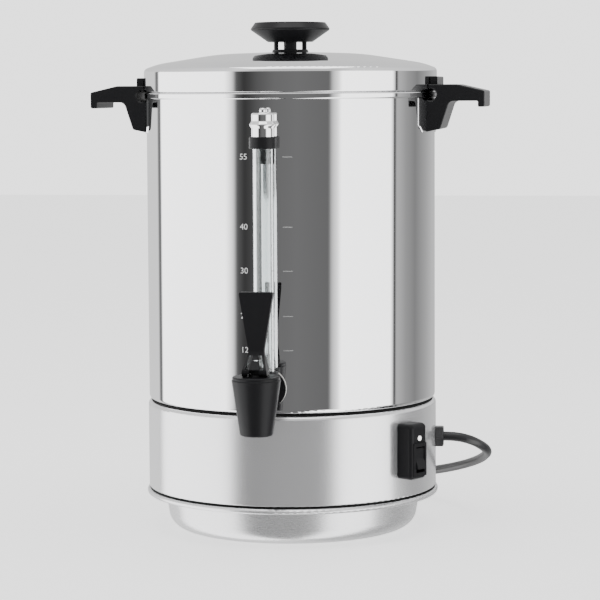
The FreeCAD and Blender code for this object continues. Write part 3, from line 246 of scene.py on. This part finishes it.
looks = {
    "polished_steel": metal("polished_steel", (0.86, 0.86, 0.87), 0.035, (1, 1, 12), 90.0, 0.01),
    "satin_steel": metal("satin_steel", (0.82, 0.82, 0.83), 0.23, (1, 1, 30), 120.0, 0.03,
                         bare=0.82),
    "foot_aluminium": metal("foot_aluminium", (0.78, 0.78, 0.79), 0.27, (1, 1, 20), 150.0, 0.04,
                            bare=0.8),
    "zinc_screws": metal("zinc_screws", (0.62, 0.62, 0.60), 0.25),
    "zinc_plate": metal("zinc_plate", (0.6, 0.6, 0.58), 0.4),
    "element_sheath": metal("element_sheath", (0.38, 0.37, 0.36), 0.5),
    "inner_plastic": moulding("inner_plastic", (0.78, 0.75, 0.66), 0.5),
    "lead_sleeve": moulding("lead_sleeve", (0.8, 0.78, 0.72), 0.8, 1500.0, 0.00005),
    "black_plastic": moulding("black_plastic", (0.008, 0.008, 0.009), 0.40, specular=0.16),
    "black_phenolic": moulding("black_phenolic", (0.008, 0.008, 0.009), 0.32, specular=0.24),
    "clear_rubber": moulding("clear_rubber", (0.75, 0.74, 0.7), 0.45),
    "spring_steel": metal("spring_steel", (0.62, 0.62, 0.62), 0.2),
    "gauge_glass": clear("gauge_glass", (0.93, 0.96, 0.96), 0.0),
    "gauge_chrome": metal("gauge_chrome", (0.85, 0.85, 0.85), 0.06),
    "pilot_white": glowing("pilot_white", (1.0, 0.98, 0.95), 1.5),
    "lamp_glass": clear("lamp_glass", (0.98, 0.8, 0.65), 0.05),
    "percolator_aluminium": metal("percolator_aluminium", (0.74, 0.74, 0.75), 0.3),
    "cord_rubber": moulding("cord_rubber", (0.012, 0.012, 0.013), 0.33, 700.0, 0.00002),
    # ring_rubber: near-black rings laid in the seam and hem grooves; painted shade, a dark piece
    # that stands in for the shadow line in these gaps
    "ring_rubber": moulding("ring_rubber", (0.006, 0.006, 0.006), 0.7, specular=0.1),
    "plug_brass": metal("plug_brass", (0.8, 0.65, 0.35), 0.2),
}
tie_plastic = moulding("tie_plastic", (0.02, 0.02, 0.02), 0.4)
print_white = moulding("print_white", (0.72, 0.72, 0.72), 0.6)
print_grey = moulding("print_grey", (0.30, 0.30, 0.30), 0.6)
slot_of = {row["node"]: row["material_slot"] for row in frame["record"]["subparts"]}


def wear(piece, look):
    """Gives a piece one look and nothing else."""
    piece.data.materials.clear()
    piece.data.materials.append(looks[look])


for name, node in nodes.items():
    wear(node, slot_of[name])


# Placing helpers
def around(distance, azimuth, height):
    """A point at a distance from the urn's axis, in metres."""
    turn = math.radians(azimuth)
    return Vector((distance * math.sin(turn), -distance * math.cos(turn), height)) * MM


def to_urn_frame(x, y, z):
    """A point of the camera's frame, in millimetres, in the urn's frame, in metres."""
    return Matrix.Rotation(math.radians(CAMERA_AZIMUTH), 3, "Z") @ Vector((x, y, z)) * MM


def add_mesh(name, points, faces):
    """A new piece from points in metres and faces."""
    mesh = bpy.data.meshes.new(name)
    mesh.from_pydata([tuple(point) for point in points], [], faces)
    mesh.update()
    piece = bpy.data.objects.new(name, mesh)
    bpy.context.scene.collection.objects.link(piece)
    return piece


# Camera
def add_camera():
    data = bpy.data.cameras.new("camera")
    data.lens = CAMERA_LENS
    data.sensor_width = SENSOR_WIDTH
    camera = bpy.data.objects.new("camera", data)
    bpy.context.scene.collection.objects.link(camera)
    pitch, roll = math.radians(CAMERA_PITCH), math.radians(CAMERA_ROLL)
    right, up = Vector((1, 0, 0)), Vector((0, math.sin(pitch), math.cos(pitch)))
    ahead = Vector((0, math.cos(pitch), -math.sin(pitch)))
    across = right * math.cos(roll) + up * math.sin(roll)
    upright = up * math.cos(roll) - right * math.sin(roll)
    turn = Matrix((across, upright, -ahead)).transposed()
    spin = Matrix.Rotation(math.radians(CAMERA_AZIMUTH), 3, "Z")
    camera.matrix_world = Matrix.Translation(to_urn_frame(*CAMERA_PLACE)) @ (spin @ turn).to_4x4()
    data.clip_start, data.clip_end = CLIP_NEAR, CLIP_FAR
    bpy.context.scene.camera = camera


# Light: a studio that is dark in front, white at the sides and grey at the back, and one lamp
def angle_ramp(tree, share, bands):
    """Grey levels by azimuth from the camera."""
    ramp = tree.nodes.new("ShaderNodeValToRGB")
    while len(ramp.color_ramp.elements) < len(bands):
        ramp.color_ramp.elements.new(0.5)
    for element, (azimuth, level) in zip(ramp.color_ramp.elements, bands):
        element.position = (azimuth + 180) / 360
        element.color = (level, level, level, 1)
    tree.links.new(share, ramp.inputs["Fac"])
    return ramp.outputs["Color"]


def add_world():
    world = bpy.data.worlds.new("studio")
    bpy.context.scene.world = world
    world.use_nodes = True
    tree = world.node_tree
    coordinates = tree.nodes.new("ShaderNodeTexCoord")
    turn = tree.nodes.new("ShaderNodeMapping")
    turn.inputs["Rotation"].default_value = (0, 0, math.radians(-CAMERA_AZIMUTH))
    split = tree.nodes.new("ShaderNodeSeparateXYZ")
    angle = tree.nodes.new("ShaderNodeMath")
    angle.operation = "ARCTAN2"
    share = tree.nodes.new("ShaderNodeMapRange")
    share.inputs["From Min"].default_value = -math.pi
    share.inputs["From Max"].default_value = math.pi
    flip = tree.nodes.new("ShaderNodeMath")
    flip.operation = "MULTIPLY"
    flip.inputs[1].default_value = -1.0
    rise = tree.nodes.new("ShaderNodeMapRange")
    rise.interpolation_type = "SMOOTHSTEP"
    rise.inputs["From Min"].default_value = math.sin(math.radians(CEILING_FROM))
    rise.inputs["From Max"].default_value = math.sin(math.radians(CEILING_TO))
    blend = tree.nodes.new("ShaderNodeMix")
    blend.data_type = "RGBA"
    tree.links.new(coordinates.outputs["Generated"], turn.inputs["Vector"])
    tree.links.new(turn.outputs["Vector"], split.inputs["Vector"])
    tree.links.new(split.outputs["Y"], flip.inputs[0])
    tree.links.new(split.outputs["X"], angle.inputs[0])
    tree.links.new(flip.outputs[0], angle.inputs[1])
    lean = tree.nodes.new("ShaderNodeMath")
    lean.operation = "MULTIPLY_ADD"
    lean.inputs[1].default_value = BAND_LEAN
    tree.links.new(split.outputs["Z"], lean.inputs[0])
    tree.links.new(angle.outputs[0], lean.inputs[2])
    tree.links.new(lean.outputs[0], share.inputs["Value"])
    tree.links.new(split.outputs["Z"], rise.inputs["Value"])
    tree.links.new(rise.outputs["Result"], blend.inputs["Factor"])
    tree.links.new(angle_ramp(tree, share.outputs["Result"], WALL_BANDS), blend.inputs["A"])
    tree.links.new(angle_ramp(tree, share.outputs["Result"], CEILING_BANDS), blend.inputs["B"])
    backdrop = tree.nodes.new("ShaderNodeMix")
    backdrop.data_type = "RGBA"
    backdrop.inputs["B"].default_value = (BACKDROP, BACKDROP, BACKDROP, 1)
    seen = tree.nodes.new("ShaderNodeLightPath")
    tree.links.new(seen.outputs["Is Camera Ray"], backdrop.inputs["Factor"])
    tree.links.new(blend.outputs["Result"], backdrop.inputs["A"])
    background = tree.nodes["Background"]
    tree.links.new(backdrop.outputs["Result"], background.inputs["Color"])
    background.inputs["Strength"].default_value = 1.0


def add_floor():
    corners = ((-1, -1), (1, -1), (1, 1), (-1, 1))
    floor = add_mesh("floor", [Vector((across * FLOOR_HALF, back * FLOOR_HALF, 0))
                               for across, back in corners], [(0, 1, 2, 3)])
    floor.visible_glossy = False
    material, tree, shader = new_material("floor")
    shader.inputs["Base Color"].default_value = (*FLOOR_COLOR, 1)
    shader.inputs["Roughness"].default_value = FLOOR_ROUGHNESS
    shader.inputs["Specular IOR Level"].default_value = FLOOR_SPECULAR
    shader.inputs["Emission Color"].default_value = (1, 1, 1, 1)
    shader.inputs["Emission Strength"].default_value = FLOOR_GLOW
    floor.data.materials.append(material)


def add_lamp():
    data = bpy.data.lights.new("top_light", "AREA")
    data.shape = "RECTANGLE"
    data.size, data.size_y = LAMP_SIZE
    data.energy = LAMP_POWER
    lamp = bpy.data.objects.new("top_light", data)
    bpy.context.scene.collection.objects.link(lamp)
    lamp.location = to_urn_frame(*LAMP_PLACE)
    aim = to_urn_frame(*LAMP_TARGET) - lamp.location
    lamp.rotation_euler = aim.to_track_quat("-Z", "Y").to_euler()


# Printed marks
def add_numeral(count, height):
    """One cup count, printed on the tank: flat text bent round the tank."""
    data = bpy.data.curves.new("text", "FONT")
    data.body = str(count)
    data.size = MARK_HEIGHT * MM / MARK_CAP_SHARE
    data.align_x, data.align_y = "CENTER", "CENTER"
    data.resolution_u = 4
    text = bpy.data.objects.new("text", data)
    bpy.context.scene.collection.objects.link(text)
    flat = bpy.data.meshes.new_from_object(text.evaluated_get(
        bpy.context.evaluated_depsgraph_get()))
    bpy.data.objects.remove(text)
    radius = TANK_RADIUS + PRINT_LIFT
    for vertex in flat.vertices:
        azimuth = MARK_AZIMUTH + math.degrees(vertex.co.x / (radius * MM))
        vertex.co = around(radius, azimuth, height + vertex.co.y / MM)
    mark = bpy.data.objects.new("mark_" + str(count), flat)
    bpy.context.scene.collection.objects.link(mark)
    finish_print(mark, print_white)


def add_tick(count, height):
    """A short line beside the gauge at one cup count."""
    radius = TANK_RADIUS + PRINT_LIFT
    half = math.degrees(TICK_WIDTH / 2 / radius)
    points, faces = [], []
    for step in range(TICK_STEPS + 1):
        azimuth = TICK_AZIMUTH - half + 2 * half * step / TICK_STEPS
        points.append(around(radius, azimuth, height - TICK_HEIGHT / 2))
        points.append(around(radius, azimuth, height + TICK_HEIGHT / 2))
    for step in range(TICK_STEPS):
        low = 2 * step
        faces.append((low, low + 2, low + 3, low + 1))
    finish_print(add_mesh("tick_" + str(count), points, faces), print_grey)


def finish_print(piece, ink):
    """Inks a printed mark and fixes it to the urn."""
    piece.data.materials.clear()
    piece.data.materials.append(ink)
    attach(piece, "urn")


# Cord, its tie and its plug
def heading(azimuth):
    """The level direction at an azimuth, away from the urn's axis."""
    turn = math.radians(azimuth)
    return Vector((math.sin(turn), -math.cos(turn), 0))


def coil_spot(angle, radius, height):
    """A point of the coil; the angle counts from where the cord comes in."""
    turn = math.radians(COIL_START + angle)
    return around(COIL_DISTANCE, COIL_AZIMUTH, height) + Vector(
        (radius * math.cos(turn), radius * math.sin(turn), 0)) * MM


def eased(keys, at):
    """Radius and height at a turned angle, eased from key to key."""
    for (first, *before), (last, *after) in zip(keys, keys[1:]):
        if at <= last:
            part = (at - first) / (last - first)
            part = part * part * (3 - 2 * part)
            return [low + (high - low) * part for low, high in zip(before, after)]
    return after


def cord_points():
    """The cord's route: out of the relief, past the urn, round the coil and on to the plug."""
    out = heading(RELIEF_AZIMUTH)
    leave = around(RELIEF_REACH, RELIEF_AZIMUTH, RELIEF_HEIGHT)
    along = heading(COIL_START)
    arrive = coil_spot(0, COIL_KEYS[0][1], CORD_RADIUS)
    points = [leave, leave + out * CORD_RUN_OUT * MM]
    points += [around(SKIRT_RADIUS + proud, azimuth, height)
               for proud, azimuth, height in CORD_ROUTE]
    points += [arrive + along * (COIL_STUB + COIL_APPROACH) * MM, arrive + along * COIL_STUB * MM]
    for angle in range(0, COIL_KEYS[-1][0] + 1, COIL_STEP):
        radius, height = eased(COIL_KEYS, angle)
        points.append(coil_spot(angle, radius * COIL_SWELL, height))
    points.append(points[-1] + along * COIL_TAIL * MM)
    return points


def add_cord():
    points = cord_points()
    data = bpy.data.curves.new("power_cord", "CURVE")
    data.dimensions = "3D"
    data.bevel_depth = CORD_RADIUS * MM
    data.bevel_resolution = 5
    data.resolution_u = 8
    data.use_fill_caps = True
    spline = data.splines.new("NURBS")
    spline.points.add(len(points) - 1)
    for place, point in zip(spline.points, points):
        place.co = (*point, 1)
    spline.order_u = 3
    spline.use_endpoint_u = True
    cord = bpy.data.objects.new("power_cord", data)
    bpy.context.scene.collection.objects.link(cord)
    data.materials.append(looks["cord_rubber"])
    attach(cord, "urn")
    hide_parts("cord", "cord_coil")
    tie = add_tie()
    plug = add_plug(points[-1])


def lofted(name, rings):
    """A closed skin over rings of as many points each, with flat ends."""
    points = [point for ring in rings for point in ring]
    count = len(rings[0])
    faces = []
    for row in range(len(rings) - 1):
        for step in range(count):
            right = (step + 1) % count
            low, high = row * count, (row + 1) * count
            faces.append((low + step, low + right, high + right, high + step))
    faces.append(tuple(reversed(range(count))))
    faces.append(tuple(range(len(points) - count, len(points))))
    piece = add_mesh(name, points, faces)
    face_outwards(piece)
    return piece


def face_outwards(piece):
    """Turns every face of a closed skin outwards."""
    mesh = bmesh.new()
    mesh.from_mesh(piece.data)
    bmesh.ops.recalc_face_normals(mesh, faces=mesh.faces)
    mesh.to_mesh(piece.data)
    mesh.free()


def smoothed(piece):
    """Shades a piece smooth and keeps its sharp edges."""
    piece.data.shade_smooth()
    piece.data.set_sharp_from_angle(angle=math.radians(SHARP_ANGLE))
    return piece


def rounded_ring(half_width, half_height, power):
    """A rounded rectangle's outline: (across, up) in millimetres."""
    outline = []
    for step in range(PLUG_OUTLINE_STEPS):
        turn = 2 * math.pi * step / PLUG_OUTLINE_STEPS
        across, up = math.cos(turn), math.sin(turn)
        outline.append((math.copysign(abs(across) ** (2 / power), across) * half_width,
                        math.copysign(abs(up) ** (2 / power), up) * half_height))
    return outline


def add_plug(start):
    """The moulded plug: a tapered sleeve and a ribbed grip, at the end of the cord."""
    along = heading(COIL_START)
    side = Vector((-along.y, along.x, 0))
    rings = []
    sections = [(0.0, 4.4, 4.4, 2), (0.8, 4.9, 4.9, 2), (PLUG_SLEEVE - 3, 5.5, 5.5, 2),
                (PLUG_SLEEVE - 1.5, 6.2, 6.0, 2.4), (PLUG_SLEEVE, 7.6, 7.4, 3.0),
                (PLUG_SLEEVE + 1.2, 8.3, 8.6, 3.6)]
    dip = PLUG_RIB_TOP - PLUG_RIB_DEPTH
    for rib in range(PLUG_RIBS):
        place = PLUG_SLEEVE + PLUG_RIB_START + PLUG_RIB_STEP * rib
        share = (place - PLUG_SLEEVE) / PLUG_LENGTH
        wide = PLUG_NECK_WIDTH + (PLUG_HALF_WIDTH - PLUG_NECK_WIDTH) * share
        sections += [(place, wide, PLUG_RIB_TOP, PLUG_RIB_ROUND),
                     (place + 0.5, wide - PLUG_RIB_DEPTH, dip, PLUG_RIB_ROUND),
                     (place + 1.4, wide - PLUG_RIB_DEPTH, dip, PLUG_RIB_ROUND),
                     (place + 1.9, wide + 0.2, PLUG_RIB_TOP, PLUG_RIB_ROUND)]
    finish = PLUG_SLEEVE + PLUG_LENGTH
    sections += [(finish - 10, 10.9, PLUG_HALF_THICKNESS - 0.1, 4.6),
                 (finish - 1.2, 11.3, PLUG_HALF_THICKNESS - 0.1, 4.8),
                 (finish - 0.3, 11.0, PLUG_HALF_THICKNESS - 0.5, 4.8),
                 (finish, 10.2, PLUG_HALF_THICKNESS - 1.3, 4.8)]
    for place, half_width, half_height, power in sections:
        rings.append([start + (along * place + side * across + Vector((0, 0, up))) * MM
                      for across, up in rounded_ring(half_width, half_height, power)])
    plug = smoothed(lofted("plug_grip", rings))
    plug.data.materials.append(looks["cord_rubber"])
    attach(plug, "urn")
    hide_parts("plug_body")
    return plug


def add_tie():
    """A flat closed band round the coil's three turns."""
    turns = [(COIL_INNER, CORD_RADIUS), (COIL_OUTER, CORD_RADIUS),
             (COIL_UPPER, COIL_UPPER_HEIGHT)]
    clear_of = CORD_RADIUS + TIE_SLACK
    outline = []
    for step in range(TIE_STEPS):
        turn = 2 * math.pi * step / TIE_STEPS
        out, up = math.cos(turn), math.sin(turn)
        radius, height = max(turns, key=lambda spot: spot[0] * out + spot[1] * up)
        outline.append((radius + clear_of * out,
                        max(height + clear_of * up, TIE_LOWEST_INSIDE)))
    centre = [sum(values) / TIE_STEPS for values in zip(*outline)]
    points, faces = [], []
    spread_angle = math.degrees(TIE_HALF_WIDTH / COIL_UPPER)
    for radius, height in outline:
        away = Vector((radius - centre[0], height - centre[1])).normalized() * TIE_THICKNESS
        for wall in (0, 1):
            for edge in (-1, 1):
                points.append(coil_spot(TIE_ANGLE + edge * spread_angle, radius + away.x * wall,
                                        max(height + away.y * wall, TIE_LOWEST)))
    for step in range(TIE_STEPS):
        low, high = 4 * step, 4 * ((step + 1) % TIE_STEPS)
        for first, second in ((0, 1), (1, 3), (3, 2), (2, 0)):
            faces.append((low + first, low + second, high + second, high + first))
    tie = add_mesh("cord_tie", points, faces)
    face_outwards(tie)
    smoothed(tie)
    tie.data.materials.append(tie_plastic)
    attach(tie, "urn")
    return tie


add_camera()
add_cord()
add_world()
add_floor()
add_lamp()
for count, height in CUP_MARKS:
    add_numeral(count, height)
    add_tick(count, height)
